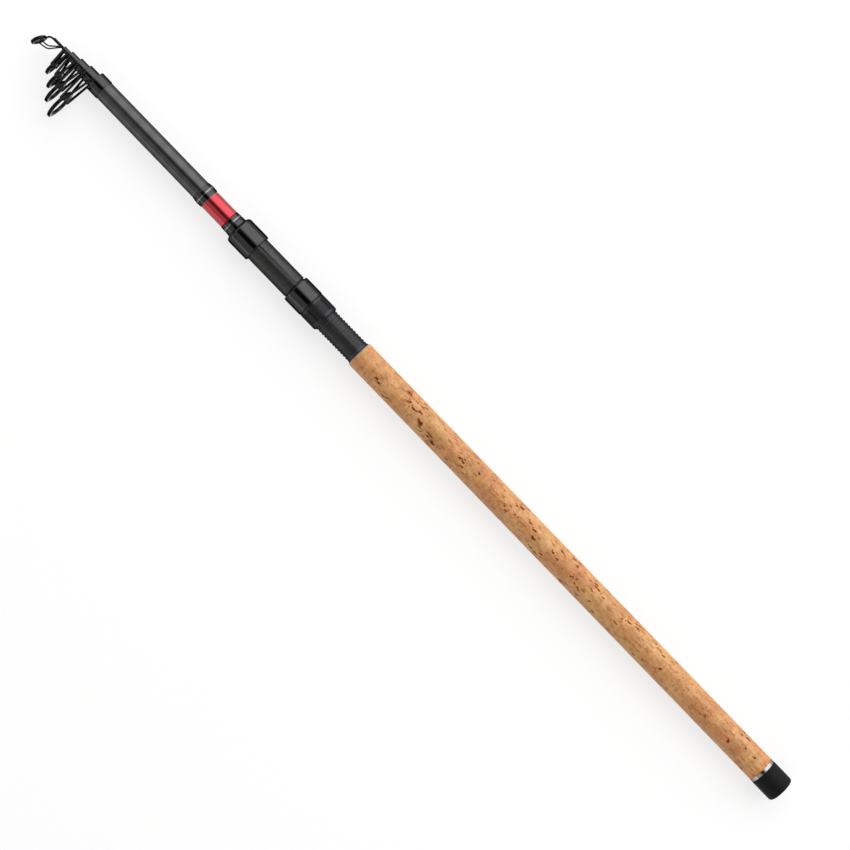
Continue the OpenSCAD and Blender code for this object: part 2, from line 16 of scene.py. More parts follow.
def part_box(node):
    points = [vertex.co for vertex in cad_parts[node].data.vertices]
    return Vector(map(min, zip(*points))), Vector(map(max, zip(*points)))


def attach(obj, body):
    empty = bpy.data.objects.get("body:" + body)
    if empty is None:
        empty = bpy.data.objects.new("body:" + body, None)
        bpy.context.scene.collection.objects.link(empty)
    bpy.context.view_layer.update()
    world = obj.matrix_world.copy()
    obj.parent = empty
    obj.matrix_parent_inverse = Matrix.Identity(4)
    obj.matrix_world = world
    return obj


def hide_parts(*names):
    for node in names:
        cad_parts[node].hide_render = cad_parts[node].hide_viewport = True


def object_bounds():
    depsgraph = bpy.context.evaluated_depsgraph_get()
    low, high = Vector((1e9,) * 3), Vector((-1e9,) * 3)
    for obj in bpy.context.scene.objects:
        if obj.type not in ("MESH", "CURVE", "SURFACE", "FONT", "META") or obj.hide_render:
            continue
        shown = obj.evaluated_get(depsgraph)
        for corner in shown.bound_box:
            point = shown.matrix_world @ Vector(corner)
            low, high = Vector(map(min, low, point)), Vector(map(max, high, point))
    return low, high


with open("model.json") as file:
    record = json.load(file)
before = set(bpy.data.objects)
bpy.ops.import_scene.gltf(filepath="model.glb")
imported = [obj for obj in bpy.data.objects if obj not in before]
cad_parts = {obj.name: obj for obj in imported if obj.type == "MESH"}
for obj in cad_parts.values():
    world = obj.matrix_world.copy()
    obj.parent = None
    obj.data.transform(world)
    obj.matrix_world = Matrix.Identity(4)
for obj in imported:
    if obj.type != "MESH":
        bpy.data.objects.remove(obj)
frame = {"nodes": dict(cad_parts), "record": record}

CAD_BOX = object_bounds()

# %% [markdown]
# Blender works in metres and a rod maker in millimetres, so one factor converts them. Nearly every piece is turned
# about the rod's axis, so a node's CAD box gives its two ends and its radius.

# %% Places read from the frame
MM = 0.001


def span(node):
    """The rear end, front end and radius of a turned CAD node, in millimetres."""
    low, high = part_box(node)
    return low.x / MM, high.x / MM, -low.y / MM


BLANK_REAR, BLANK_MOUTH, _ = span("butt_blank")
BLANK_MOUTH_R, BLANK_TAPER, BLANK_WALL, GLUE = 10.0, 0.001, 1.9, 0.05


def blank_r(station):
    """The butt blank's outer radius at a station along the rod."""
    return BLANK_MOUTH_R + BLANK_TAPER * (BLANK_MOUTH - station)


def glued_r(station):
    """The bore of a piece that is glued on the butt blank."""
    return blank_r(station) + GLUE


print("butt blank from", round(BLANK_REAR, 1), "to", round(BLANK_MOUTH, 1), "mm")

# %% [markdown]
# ## The lathe
# Blender's operators act on what is selected, so one helper selects whole pieces, or none, and one the vertex at a
# corner. Two more close an edit with all faces outwards, and shade a piece smooth but keep its sharp edges.

# %% Selecting and shading
WELD = MM / 1000


def only(*pieces):
    """Selects these pieces and nothing else, and makes the first one active."""
    bpy.ops.object.select_all(action="DESELECT")
    for piece in reversed(pieces):
        piece.select_set(True)
        bpy.context.view_layer.objects.active = piece


def pick(piece, corner):
    """In edit mode, selects the vertex at a corner."""
    bpy.ops.mesh.select_mode(type="VERT")
    bpy.ops.mesh.select_all(action="DESELECT")
    bpy.ops.object.mode_set(mode="OBJECT")
    for vertex in piece.data.vertices:
        vertex.select = (vertex.co - corner).length < WELD
    bpy.ops.object.mode_set(mode="EDIT")


def close_edit():
    """Turns all faces outwards and leaves edit mode."""
    bpy.ops.mesh.select_all(action="SELECT")
    bpy.ops.mesh.normals_make_consistent(inside=False)
    bpy.ops.object.mode_set(mode="OBJECT")


def smooth(piece, sharp=35):
    """Shades a piece smooth, apart from edges sharper than an angle in degrees."""
    only(piece)
    bpy.ops.object.shade_smooth_by_angle(angle=math.radians(sharp))


print("selecting tools ready")

# %% [markdown]
# These pieces are turned, as on a lathe. One vertex is extruded from corner to corner of an outline, the round
# corners are bevelled, and the outline is spun about the axis. A cylinder with a bevel modifier would round every
# edge alike. An outline gives each corner its own rounding.

# %% A lathe for outlines
ROUND_STEPS = 5


def drawn(name, corners):
    """A new piece, left in edit mode, that is one vertex drawn from corner to corner."""
    only()
    bpy.ops.mesh.primitive_plane_add(size=MM)
    piece = bpy.context.object
    piece.name = piece.data.name = name
    bpy.ops.object.mode_set(mode="EDIT")
    bpy.ops.mesh.merge(type="CENTER")
    bpy.ops.transform.translate(value=corners[0])
    for here, there in zip(corners, corners[1:]):
        bpy.ops.mesh.extrude_region_move(TRANSFORM_OT_translate={"value": there - here})
    return piece


def turned(name, outline, height=0.0, steps=128, angle=math.tau):
    """Turns (station, radius, rounding) corners about an axis along X, at a height along Y."""
    # An outline that ends off the axis is closed.
    if outline[-1][1]:
        outline = [*outline, outline[0]]
    corners = [Vector((corner[0], height, corner[1])) * MM for corner in outline]
    piece = drawn(name, corners)
    bpy.ops.mesh.select_all(action="SELECT")
    bpy.ops.mesh.remove_doubles(threshold=WELD)
    for corner, place in zip(outline, corners):
        if len(corner) > 2:
            pick(piece, place)
            bpy.ops.mesh.bevel(offset=corner[2] * MM, segments=ROUND_STEPS, affect="VERTICES")
    bpy.ops.mesh.select_all(action="SELECT")
    bpy.ops.mesh.spin(steps=steps, angle=angle, center=(0, height * MM, 0), axis=(1, 0, 0))
    bpy.ops.mesh.select_all(action="SELECT")
    bpy.ops.mesh.remove_doubles(threshold=WELD)
    close_edit()
    smooth(piece)
    return piece


def ring(name, rear, front, rear_edge, front_edge=None, bore=glued_r):
    """A ring between two stations, with a (radius, rounding) for both its outer edges or for each."""
    return turned(name, [
        (rear, bore(rear)), (rear, *rear_edge), (front, *(front_edge or rear_edge)), (front, bore(front))])


print("lathe ready")

# %% [markdown]
# Slots, pockets and flutes are milled: a boolean takes a cutter's shape out of the work. Cutting keeps the wall's
# own curve, which faces moved by hand would lose.

# %% Modifiers and milling
def apply_modifier(piece, kind, **settings):
    """Adds a modifier with its settings to a piece and applies it."""
    modifier = piece.modifiers.new(kind.title(), kind)
    for setting, value in settings.items():
        setattr(modifier, setting, value)
    only(piece)
    bpy.ops.object.modifier_apply(modifier=modifier.name)


def mill(piece, *cutters):
    """Cuts the cutters' shapes out of a piece and puts the cutters away."""
    for cutter in cutters:
        apply_modifier(piece, "BOOLEAN", operation="DIFFERENCE", object=cutter, solver="EXACT")
        bpy.data.objects.remove(cutter)


print("milling tools ready")

# %% [markdown]
# ## The butt end
# The rubber cap is a moulding with a large soft corner. It sits behind a bright aluminium ring, which covers the
# end of the cork. Both are plain turnings, so the lathe gives them as they are.

# %% Butt cap and trim ring
pieces = {}
CAP_ROUND, CAP_LIP, CAP_BORE, CAP_FLOOR, TRIM_ROUND = 3.0, 0.6, 11.3, 6.0, 0.3

_, cap_front, cap_r = span("butt_cap")
pieces["butt_cap"] = turned("butt_cap_rubber", [
    (0, 0), (0, cap_r, CAP_ROUND), (cap_front, cap_r, CAP_LIP), (cap_front, CAP_BORE),
    (CAP_FLOOR, CAP_BORE), (CAP_FLOOR, 0)])
rear, front, radius = span("butt_trim_ring")
pieces["butt_trim_ring"] = ring("butt_ring_bright", rear, front, (radius, TRIM_ROUND))
print("butt end to", round(front, 1), "mm")

# %% [markdown]
# ## The cork grip
# What makes the grip cork are its lenticels: short dark pores along it, often in pairs, most with a deep head and a
# tail that fades out. They could be painted only, but then the surface would stay smooth at its edge and in close
# views. So the grip gets a fine mesh, which the pores can be pressed into.

# %% Cork grip
CORK_STEP, CORK_SIDES, CORK_END, REAR_ROUND, FRONT_ROUND = 0.75, 116, 2, 0.6, 1.6

rear, front, cork_r = span("cork_grip")
meshed = front - rear - 2 * CORK_END
count = round(meshed / CORK_STEP)
along = [(rear + CORK_END + meshed * i / count, cork_r) for i in range(count + 1)]
cork = turned("cork_grip_sanded", [
    (rear, glued_r(rear)), (rear, cork_r, REAR_ROUND), *along, (front, cork_r, FRONT_ROUND),
    (front, glued_r(front))], steps=CORK_SIDES)
pieces["cork_grip"] = cork
print("cork grip:", len(cork.data.vertices), "vertices")

# %% [markdown]
# Chance scatters the pores, from one seed, so that each run gives the same grip. Cracks are the boldest, one or two
# dashes with a small step between. Streaks are long and pale, dots are short, and many pores lie beside the one
# before.

# %% Where the pores lie
GROUP_ALONG, GROUP_ROUND = 5, (0.2, 0.5)


def scattered(chance, count, first, last, together):
    """Places on the grip, as (station, turn), some of them beside the one before."""
    places = [(chance.uniform(first, last), chance.uniform(-math.pi, math.pi))]
    while len(places) < count:
        x, turn = places[-1]
        if chance.random() < together:
            x += chance.gauss(0, GROUP_ALONG)
            places.append((x, turn + chance.choice((-1, 1)) * chance.uniform(*GROUP_ROUND)))
        else:
            places.append((chance.uniform(first, last), chance.uniform(-math.pi, math.pi)))
    return places


SEED, REAR_BARE, FRONT_BARE = 11, 8, 16
CRACKS, CRACKS_TOGETHER, CRACK_DASHES = 380, 0.4, (1, 1, 1, 2)
CRACK_LONG, CRACK_WIDE, CRACK_STEP = (1.2, 4.0), (0.75, 1.1), (0.07, 0.2)
CRACK_DARK, CRACK_FADE, STEP_LONG, STEP_WIDE = (0.55, 1.15), (0.45, 0.9), 0.8, 6
# How many, half length, half width, darkness at the head and at the tail, and the share that lies together.
STREAKS = (520, (3, 9), (0.7, 1.3), (0.46, 0.66), 0.34, 0.3)
DOTS = (560, (0.8, 1.3), (0.7, 1.0), (0.45, 0.85), 0.4, 0.4)


def lenticels(first, last):
    """Every pore as (station, turn, half length, half width, darkness at its head and tail)."""
    chance = random.Random(SEED)
    pores = []
    for x, turn in scattered(chance, CRACKS, first, last, CRACKS_TOGETHER):
        dark = chance.uniform(*CRACK_DARK)
        for _ in range(chance.choice(CRACK_DASHES)):
            long = chance.uniform(*CRACK_LONG)
            step = chance.choice((-1, 1)) * chance.uniform(*CRACK_STEP)
            headed = chance.choice((-1, 1)) * long
            wide, fade = chance.uniform(*CRACK_WIDE), chance.uniform(*CRACK_FADE)
            pores.append((x, turn, headed, wide, dark, dark * fade))
            pores.append((x + long, turn + step / 2, STEP_LONG, STEP_WIDE * abs(step), dark * 0.8, dark * 0.7))
            x, turn = x + 2 * long, turn + step
    for count, long, wide, head, tail, together in (STREAKS, DOTS):
        pores += [(x, turn, chance.uniform(*long), chance.uniform(*wide), chance.uniform(*head), tail)
                  for x, turn in scattered(chance, count, first, last, together)]
    return pores


pores = lenticels(rear + REAR_BARE, front - FRONT_BARE)
print("lenticels:", len(pores))

# %% [markdown]
# Each pore is pressed in where it is dark enough. How dark each vertex is stays with the mesh as an attribute, so
# that the finish can stain exactly the pores. A pore wavers, narrows along its length and fades to its sides.

# %% Pores pressed into the cork
ROW, SKIN, WAVER, WAVER_LENGTH, DEEP_FROM, PORE_DEPTH = 10, 0.2, 0.7, 5, 0.5, 0.6


def mark(piece, name, values):
    """Keeps one value for each vertex as an attribute of a piece."""
    piece.data.attributes.new(name, "FLOAT", "POINT").data.foreach_set("value", values)


def darkness(piece, pores, radius):
    """How dark the pores make each vertex of a grip, from 0 to about 1."""
    rows = {}
    for vertex in piece.data.vertices:
        x, y, z = vertex.co / MM
        if math.hypot(y, z) > radius - SKIN:
            rows.setdefault(int(x / ROW), []).append((vertex.index, x, math.atan2(y, z)))
    dark = [0.0] * len(piece.data.vertices)
    for number, (x, turn, long, wide, head, tail) in enumerate(pores):
        for row in range(int((x - abs(long)) / ROW) - 1, int((x + abs(long)) / ROW) + 2):
            for index, there_x, there_turn in rows.get(row, ()):
                away = ((there_turn - turn + math.pi) % math.tau - math.pi) * radius
                share = (there_x - x) / long
                if abs(share) < 1 and abs(away) < 3 * wide:
                    away += WAVER * noise.noise(Vector((there_x / WAVER_LENGTH, number, 0)))
                    narrow = wide * (1.1 - 0.3 * share)
                    reach = (1 - share ** 4) * math.exp(-(away / narrow) ** 2)
                    dark[index] = max(dark[index], (head + (tail - head) * (share + 1) / 2) * reach)
    return dark


dark = darkness(cork, pores, cork_r)
mark(cork, "pore", dark)
for vertex, value in zip(cork.data.vertices, dark):
    if value > DEEP_FROM:
        vertex.co -= Vector((0, vertex.co.y, vertex.co.z)).normalized() * (value - DEEP_FROM) * PORE_DEPTH * MM
print("cork: vertices in pores:", sum(value > DEEP_FROM for value in dark))

# %% [markdown]
# ## The reel seat
# The seat is a moulded tube, smooth in front and with a coarse right-hand thread behind, one start with a rise of
# 3.6 mm. The thread's outline is one pitch long, and a screw modifier sweeps it round and forwards. Stacked rings
# would look alike from afar, but a nut couldn't climb them.

# %% Threaded barrel
THREAD_PITCH, THREAD_DEPTH, THREAD_LENGTH, THREAD_STEPS = 3.6, 0.65, 85, 72
CREST_SUNK, CREST_BREAK, SEAT_WALL = 0.3, 0.2, 1.9

seat_rear, seat_front, seat_r = span("reel_seat")
barrel_front = seat_rear + THREAD_LENGTH
crest_r, bore_r = seat_r - CREST_SUNK, seat_r - SEAT_WALL
root_r, shoulder_r = crest_r - THREAD_DEPTH, crest_r - CREST_BREAK
turns = math.ceil(THREAD_LENGTH / THREAD_PITCH) + 2
one_pitch = [(0, root_r), (0.9, root_r), (1.5, shoulder_r), (1.75, crest_r), (2.75, crest_r), (3.0, shoulder_r),
             (THREAD_PITCH, root_r)]
barrel = drawn("reel_seat_threaded", [
    Vector((seat_rear - THREAD_PITCH + x, 0, r)) * MM for x, r in one_pitch])
bpy.ops.object.mode_set(mode="OBJECT")
apply_modifier(barrel, "SCREW", axis="X", screw_offset=THREAD_PITCH * MM, iterations=turns, steps=THREAD_STEPS,
               render_steps=THREAD_STEPS, use_merge_vertices=True, merge_threshold=WELD)
print("thread:", turns, "turns,", len(barrel.data.vertices), "vertices")

# %% [markdown]
# The swept thread is cut off square at both ends, reamed, and joined to the smooth part. Two keyways run along
# both, and the hood's liner slides in them. Which vertices lie in a keyway is kept as an attribute, so that the
# finish can darken the keyways with painted shade.

# %% Barrel cut to length and bored
END_CUT, CUTTER_PAST = 0.1, 2


def reamer(rear, front, radius):
    """A round cutter on the rod's axis that reaches past both ends of the work."""
    rear, front = rear - CUTTER_PAST, front + CUTTER_PAST
    return turned("bore_cutter", [(rear, 0), (rear, radius), (front, radius), (front, 0)])


bpy.ops.object.mode_set(mode="EDIT")
for station, outwards in ((seat_rear + END_CUT, -1), (barrel_front - END_CUT, 1)):
    bpy.ops.mesh.select_all(action="SELECT")
    bpy.ops.mesh.bisect(plane_co=(station * MM, 0, 0), plane_no=(outwards, 0, 0), use_fill=True, clear_outer=True)
close_edit()
mill(barrel, reamer(seat_rear, seat_front, bore_r))
body_rear = barrel_front - END_CUT
body = turned("seat_body", [
    (body_rear, bore_r), (body_rear, seat_r, 0.3), (seat_front, seat_r), (seat_front, bore_r)])
print("barrel:", len(barrel.data.polygons), "faces")

# %% Keyways
KEYWAY_WIDTH, KEYWAY_DEPTH, KEYWAY_TURN, BORE_SKIN = 1.4, 0.7, 16, 0.2
hood_mouth, _, _ = span("front_hood")


def keyway_cutter(turn):
    """A bar along the seat, turned about it from straight above towards -Y."""
    rear, low, high = seat_rear - 1, seat_r - KEYWAY_DEPTH, seat_r + 1
    only()
    bpy.ops.mesh.primitive_cube_add(size=MM)
    cutter = bpy.context.object
    cutter.scale = (hood_mouth - rear, KEYWAY_WIDTH, high - low)
    cutter.location = Vector((rear + hood_mouth, 0, low + high)) * MM / 2
    bpy.ops.object.transform_apply(location=True, rotation=False, scale=True)
    cutter.data.transform(Matrix.Rotation(math.radians(turn), 4, "X"))
    return cutter


def in_keyway(place):
    """1.0 for a place in a keyway of the seat's smooth part, and 0.0 elsewhere."""
    deep = bore_r + BORE_SKIN < math.hypot(place.y, place.z) < seat_r - KEYWAY_DEPTH / 2
    return float(deep and place.x > barrel_front)


for work in (barrel, body):
    mill(work, keyway_cutter(KEYWAY_TURN), keyway_cutter(KEYWAY_TURN + 180))
only(barrel, body)
bpy.ops.object.join()
smooth(barrel)
# The groove attribute marks the keyways, which the finish darkens as painted shade.
mark(barrel, "groove", [in_keyway(vertex.co / MM) for vertex in barrel.data.vertices])
pieces["reel_seat"] = barrel
print("reel seat:", len(barrel.data.polygons), "faces")

# %% [markdown]
# The collar between the cork and the thread is flared at the cork, as a winding check is, to cover the edge of its
# bore, and waisted in front so that the nut clears it.

# %% Rear collar
FLARE, FLARE_SUNK, WAIST_SUNK = 1.4, 0.15, 0.4

rear, front, radius = span("rear_collar")
pieces["rear_collar"] = turned("rear_collar_black", [
    (rear, glued_r(rear)), (rear, radius, 0.15), (rear + FLARE, crest_r - FLARE_SUNK, 0.5),
    (front, crest_r - WAIST_SUNK, 0.2), (front, glued_r(front))])
print("rear collar to", round(front, 1), "mm")

# %% [markdown]
# ## Hoods and lock nut
# Two hoods hold the reel's foot: one is fixed, and the other is pushed forward by the nut. Each has a pocket on the
# side of the guides, thinned out of its wall. The pocket's cutter is part of a turned ring, so it follows the wall
# all round, where a straight cutter would break through it.

# %% Cutter for the foot pockets
POCKET_LENGTH, POCKET_HALF, POCKET_WALL, POCKET_STEPS = 17, 45, 0.7, 32


def foot_pocket(rear, front, low, high):
    """The cutter for a pocket, a sector of a ring about the side that the guides point to."""
    outline = [(rear, low), (rear, high), (front, high), (front, low)]
    cutter = turned("pocket_cutter", outline, angle=math.radians(2 * POCKET_HALF), steps=POCKET_STEPS)
    bpy.ops.object.mode_set(mode="EDIT")
    bpy.ops.mesh.select_all(action="SELECT")
    bpy.ops.mesh.fill_holes(sides=0)
    close_edit()
    middle = sum((vertex.co for vertex in cutter.data.vertices), Vector()) / len(cutter.data.vertices)
    turn = math.pi / 2 - math.atan2(middle.y, middle.z)
    cutter.data.transform(Matrix.Rotation(-turn, 4, "X"))
    return cutter


print("pocket cutter ready")

# %% Hoods with their foot pockets
SHELL_WALL, SHELL_LIP, SHELL_ROUND, SHELL_CHAMFER, LIP_PLAY = 1.4, 1.4, 1.7, 0.7, 0.1
NOSE_ROUND, MOUTH_ROUND = 3.6, 1.2

hood_rear, hood_front, hood_r = span("moving_hood")
shell_bore, lip_bore, lip_rear = hood_r - SHELL_WALL, seat_r + LIP_PLAY, hood_front - SHELL_LIP
moving_hood = turned("moving_hood_black", [
    (hood_rear, shell_bore), (hood_rear, hood_r - SHELL_CHAMFER, 0.15), (hood_rear + SHELL_CHAMFER, hood_r, 0.3),
    (hood_front, hood_r, SHELL_ROUND), (hood_front, lip_bore), (lip_rear, lip_bore), (lip_rear, shell_bore)])
mill(moving_hood, foot_pocket(hood_front - POCKET_LENGTH, hood_front + 1, seat_r, hood_r - POCKET_WALL))

fixed_rear, fixed_front, fixed_r = span("front_hood")
front_hood = turned("front_hood_black", [
    (fixed_rear, seat_r + GLUE), (fixed_rear, fixed_r, MOUTH_ROUND), (fixed_front, fixed_r, NOSE_ROUND),
    (fixed_front, glued_r(fixed_front)), (seat_front, glued_r(seat_front)), (seat_front, seat_r + GLUE)])
mill(front_hood, foot_pocket(fixed_rear - 1, fixed_rear + POCKET_LENGTH, seat_r, fixed_r - POCKET_WALL))
pieces.update(moving_hood=moving_hood, front_hood=front_hood)
for hood in (moving_hood, front_hood):
    smooth(hood)
print("hoods:", moving_hood.name, front_hood.name)

# %% [markdown]
# The nut has five flutes for the fingers between two plain rims. One round cutter is turned about the axis to each
# of them, which keeps them alike, and a small bevel breaks their edges, so that they catch the light. How deep each
# vertex lies is kept, since the finish darkens a flute by its depth: painted shade, with some grime.

# %% Lock nut
FLUTES, FLUTE_DEPTH, FLUTE_CUTTER_R, FLUTE_TURN, FLUTE_SIDES, NUT_SIDES = 5, 0.8, 1.4, 45, 48, 160
NUT_R, NUT_LENGTH, NUT_CHAMFER, FLUTE_RIM, RUNNING_FIT = 14.45, 20.2, 1.6, 2.6, 0.08

nut_rear, neck_front, _ = span("lock_nut")
nut_front = nut_rear + NUT_LENGTH
nut_bore, neck_r = crest_r + RUNNING_FIT, shell_bore - RUNNING_FIT
nut = turned("lock_nut_fluted", [
    (nut_rear, nut_bore), (nut_rear, NUT_R - NUT_CHAMFER, 0.2), (nut_rear + NUT_CHAMFER, NUT_R, 0.4),
    (nut_front, NUT_R, 0.3), (nut_front, neck_r), (neck_front, neck_r), (neck_front, nut_bore)],
    steps=NUT_SIDES)
flute_rear, flute_front = nut_rear + NUT_CHAMFER + FLUTE_RIM, nut_front - FLUTE_RIM
flute_at = Vector(((flute_rear + flute_front) / 2, 0, NUT_R - FLUTE_DEPTH + FLUTE_CUTTER_R)) * MM
for number in range(FLUTES):
    only()
    bpy.ops.mesh.primitive_cylinder_add(
        vertices=FLUTE_SIDES, radius=FLUTE_CUTTER_R * MM, depth=(flute_front - flute_rear) * MM)
    cutter = bpy.context.object
    cutter.data.transform(Matrix.Rotation(math.pi / 2, 4, "Y"))
    cutter.data.transform(Matrix.Translation(flute_at))
    cutter.data.transform(Matrix.Rotation(math.radians(FLUTE_TURN + number * 360 / FLUTES), 4, "X"))
    mill(nut, cutter)
print("lock nut:", FLUTES, "flutes")

# %% Nut's broken edges and painted shade in the flutes
EDGE_BREAK, EDGE_ANGLE, RIM_SKIN = 0.15, 30, 0.1


# A flute's depth sets how much painted shade it gets.
def flute_shade_depth(place):
    """How deep a place lies in a flute, in millimetres."""
    deep = NUT_R - RIM_SKIN - math.hypot(place.y, place.z)
    return max(0.0, deep) * (flute_rear < place.x < flute_front)


apply_modifier(
    nut, "BEVEL", width=EDGE_BREAK * MM, segments=2, limit_method="ANGLE", angle_limit=math.radians(EDGE_ANGLE))
smooth(nut)
mark(nut, "groove", [flute_shade_depth(vertex.co / MM) for vertex in nut.data.vertices])
pieces["lock_nut"] = nut
print("lock nut:", len(nut.data.polygons), "faces")

# %% [markdown]
# ## Bands, whippings and the butt blank
# In front of the seat come the winding check, a short whipping with a bright ring, the red band and a longer
# whipping with its own ring. The whippings are thread under epoxy, which flows out in a soft ramp at each end, so
# their corners are wide roundings. Each ring lies in a groove and stands a little proud of the epoxy.

# %% Check, whippings, rings and red band
TRIM_SUNK, TRIM_WALL, CHECK_WALL, BAND_WALL = 0.25, 0.4, 0.65, 0.2
WHIPPINGS = (("rear", 0.7, 0.7, 0.3), ("front", 2.0, 4.0, 1.2))

rear, front, radius = span("winding_check")
pieces["winding_check"] = ring(
    "winding_check_black", rear, front, (radius, 0.3), (glued_r(front) + CHECK_WALL, 0.25))
for name, rear_ramp, front_ramp, softness in WHIPPINGS:
    rear, front, radius = span(f"{name}_wrap")
    ring_rear, ring_front, ring_r = span(f"{name}_trim_ring")
    groove_rear, groove_front, floor_r = ring_rear - GLUE, ring_front + GLUE, radius - TRIM_SUNK
    edge_r = blank_r(rear) + (radius - blank_r(rear)) / 3
    pieces[f"{name}_wrap"] = turned(f"{name}_whipping", [
        (rear, glued_r(rear)), (rear, edge_r, 0.1), (rear + rear_ramp, radius, softness),
        (groove_rear, radius), (groove_rear, floor_r), (groove_front, floor_r), (groove_front, radius),
        (front - front_ramp, radius, softness), (front, edge_r, 0.1), (front, glued_r(front))])
    pieces[f"{name}_trim_ring"] = ring(
        f"{name}_ring_bright", ring_rear, ring_front, (ring_r, 0.12), bore=lambda station: ring_r - TRIM_WALL)
rear, front, radius = span("red_band")
pieces["red_band"] = ring("red_band_lacquered", rear, front, (radius, 0.1), (glued_r(front) + BAND_WALL, 0.1))
print("bands:", sorted(pieces))

# %% [markdown]
# The butt blank is a tube that tapers towards its mouth, and a collar keeps the mouth from splitting when the next
# section is drawn tight. The mouth's edges are rounded, since the sections run over them.

# %% Butt blank and its mouth collar
MOUTH_EDGE, COLLAR_EDGE = 0.25, 0.35

rear_r = blank_r(BLANK_REAR)
pieces["butt_blank"] = turned("butt_blank_carbon", [
    (BLANK_REAR, rear_r - BLANK_WALL), (BLANK_REAR, rear_r), (BLANK_MOUTH, BLANK_MOUTH_R, MOUTH_EDGE),
    (BLANK_MOUTH, BLANK_MOUTH_R - BLANK_WALL, MOUTH_EDGE)])
rear, front, radius = span("mouth_collar")
pieces["mouth_collar"] = ring("mouth_collar_black", rear, front, (radius, COLLAR_EDGE))
print("butt blank's rear radius", round(rear_r, 2), "mm")

# %% [markdown]
# ## The sliding sections
# Each section is a tube of constant wall whose outside grows towards its rear end. The tip is solid. Slid together
# they only show at their mouths, but drawn out they show their full length.

# %% Sections
SECTIONS = {"section_2": (7.15, 0.7), "section_3": (5.5, 0.68), "section_4": (3.85, 0.66), "section_5": (2.2, 0.44)}
TIP_END_R, TUBE_EDGE, TIP_EDGE = 0.75, 0.1, 0.2

for node, (mouth_r, wall) in SECTIONS.items():
    rear, front, rear_r = span(node)
    pieces[node] = turned(f"{node}_carbon", [
        (rear, rear_r - wall), (rear, rear_r, TUBE_EDGE), (front, mouth_r, TUBE_EDGE),
        (front, mouth_r - wall, TUBE_EDGE)], steps=96)
rear, front, rear_r = span("tip_section")
pieces["tip_section"] = turned("tip_section_carbon", [
    (rear, 0), (rear, rear_r, TIP_EDGE), (front, TIP_END_R, TIP_EDGE), (front, 0)], steps=64)
print("sections:", len(SECTIONS) + 1)

# %% [markdown]
# ## Guides
# A guide is a hoop of flat wire on four legs, brazed to a collar that slips over the section's mouth, with a
# ceramic ring pressed into the hoop. The legs are bent wire, so they are made as curves: a curve bends softly where
# a row of cylinders would kink. A small bead of braze closes each joint.

# %% Wire, beads and hoops
def bent_wire(points, radius):
    """A round wire along points in millimetres, softly bent at each of them."""
    only()
    bpy.ops.curve.primitive_bezier_curve_add()
    wire = bpy.context.object.data
    wire.splines[0].bezier_points.add(len(points) - 2)
    for knot, place in zip(wire.splines[0].bezier_points, points):
        knot.co = Vector(place) * MM
        knot.handle_left_type = knot.handle_right_type = "AUTO"
    wire.bevel_depth, wire.use_fill_caps = radius * MM, True
    wire.bevel_resolution, wire.resolution_u = 4, 8
    bpy.ops.object.convert(target="MESH")
    return bpy.context.object


def bead(place, radius):
    """A bead of braze round a joint."""
    only()
    bpy.ops.mesh.primitive_ico_sphere_add(subdivisions=3, radius=radius * MM)
    bpy.context.object.data.transform(Matrix.Translation(Vector(place) * MM))
    return bpy.context.object


def hoop(name, at, half, seat, face, height=0.0, steps=96):
    """A hoop about a station, from its seat to its face, each given as (radius, rounding)."""
    rear, front = at - half, at + half
    return turned(name, [(rear, *seat), (rear, *face), (front, *face), (front, *seat)], height, steps)


def joined(name, parts):
    """Joins parts into one piece with smooth faces."""
    only(*parts)
    bpy.ops.object.join()
    parts[0].name = parts[0].data.name = name
    smooth(parts[0], sharp=40)
    return parts[0]


print("wire tools ready")

# %% [markdown]
# The four guides differ in their height over the rod, in their hoop, and in how far the legs were bent forwards or
# back, so one loop makes them all. Legs and beads are reamed where they reach into the collar's bore.

# %% Guide frames and rings
GUIDES = {1: (39.3, 15.98, 0.8), 2: (33.8, 13.5, 0.7), 3: (26.2, 10.75, -1.8), 4: (20.7, 7.75, -1.2)}
LEG_R, LEG_INSET, LEG_SPREAD, LEG_ANGLE, BEAD_R = 1.25, 1.6, 3.0, math.radians(70), 1.1
LEG_KNOTS = (0, 0.1, 0.9, 1)
COLLAR_WALL, COLLAR_ROUND, HOOP_WALL, HOOP_HALF, HOOP_BREAK = 0.6, 0.25, 1.2, 1.3, 0.2
RING_WALL, RING_HALF, RING_ROUND, RING_BREAK = 3.0, 1.8, 1.7, 0.25

for number, (height, hoop_r, bent) in GUIDES.items():
    rear, front, collar_r = span(f"guide_{number}_frame")
    middle, collar_bore = (rear + front) / 2, collar_r - COLLAR_WALL
    collar = ring(
        f"guide_{number}_wire_frame", rear, front, (collar_r, COLLAR_ROUND), bore=lambda station: collar_bore)
    mark(collar, "collar", [1.0] * len(collar.data.vertices))
    hoop_x, hoop_in_r, join_r = middle + bent, hoop_r - HOOP_WALL, hoop_r - HOOP_WALL / 2
    parts = [collar, hoop("hoop", hoop_x, HOOP_HALF, (hoop_in_r, HOOP_BREAK), (hoop_r, 0.5), height)]
    for end, side in ((-1, -1), (-1, 1), (1, -1), (1, 1)):
        top = (hoop_x + end * LEG_SPREAD / 2, height - join_r * math.cos(LEG_ANGLE),
               side * join_r * math.sin(LEG_ANGLE))
        foot = (middle + end * ((front - rear) / 2 - LEG_INSET), 0.0, side * (collar_r - LEG_R / 2))
        leg = bent_wire([[f + (t - f) * share for f, t in zip(foot, top)] for share in LEG_KNOTS], LEG_R)
        weld = bead(foot, BEAD_R)
        for part in (leg, weld):
            mill(part, reamer(rear, front, collar_bore))
        parts += [leg, weld, bead(top, BEAD_R)]
    pieces[f"guide_{number}_frame"] = joined(f"guide_{number}_wire_frame", parts)
    ring_r = hoop_in_r - GLUE
    pieces[f"guide_{number}_ring"] = hoop(
        f"guide_{number}_ceramic", hoop_x, RING_HALF, (ring_r, RING_BREAK), (ring_r - RING_WALL, RING_ROUND),
        height)
print("guides:", len(GUIDES))

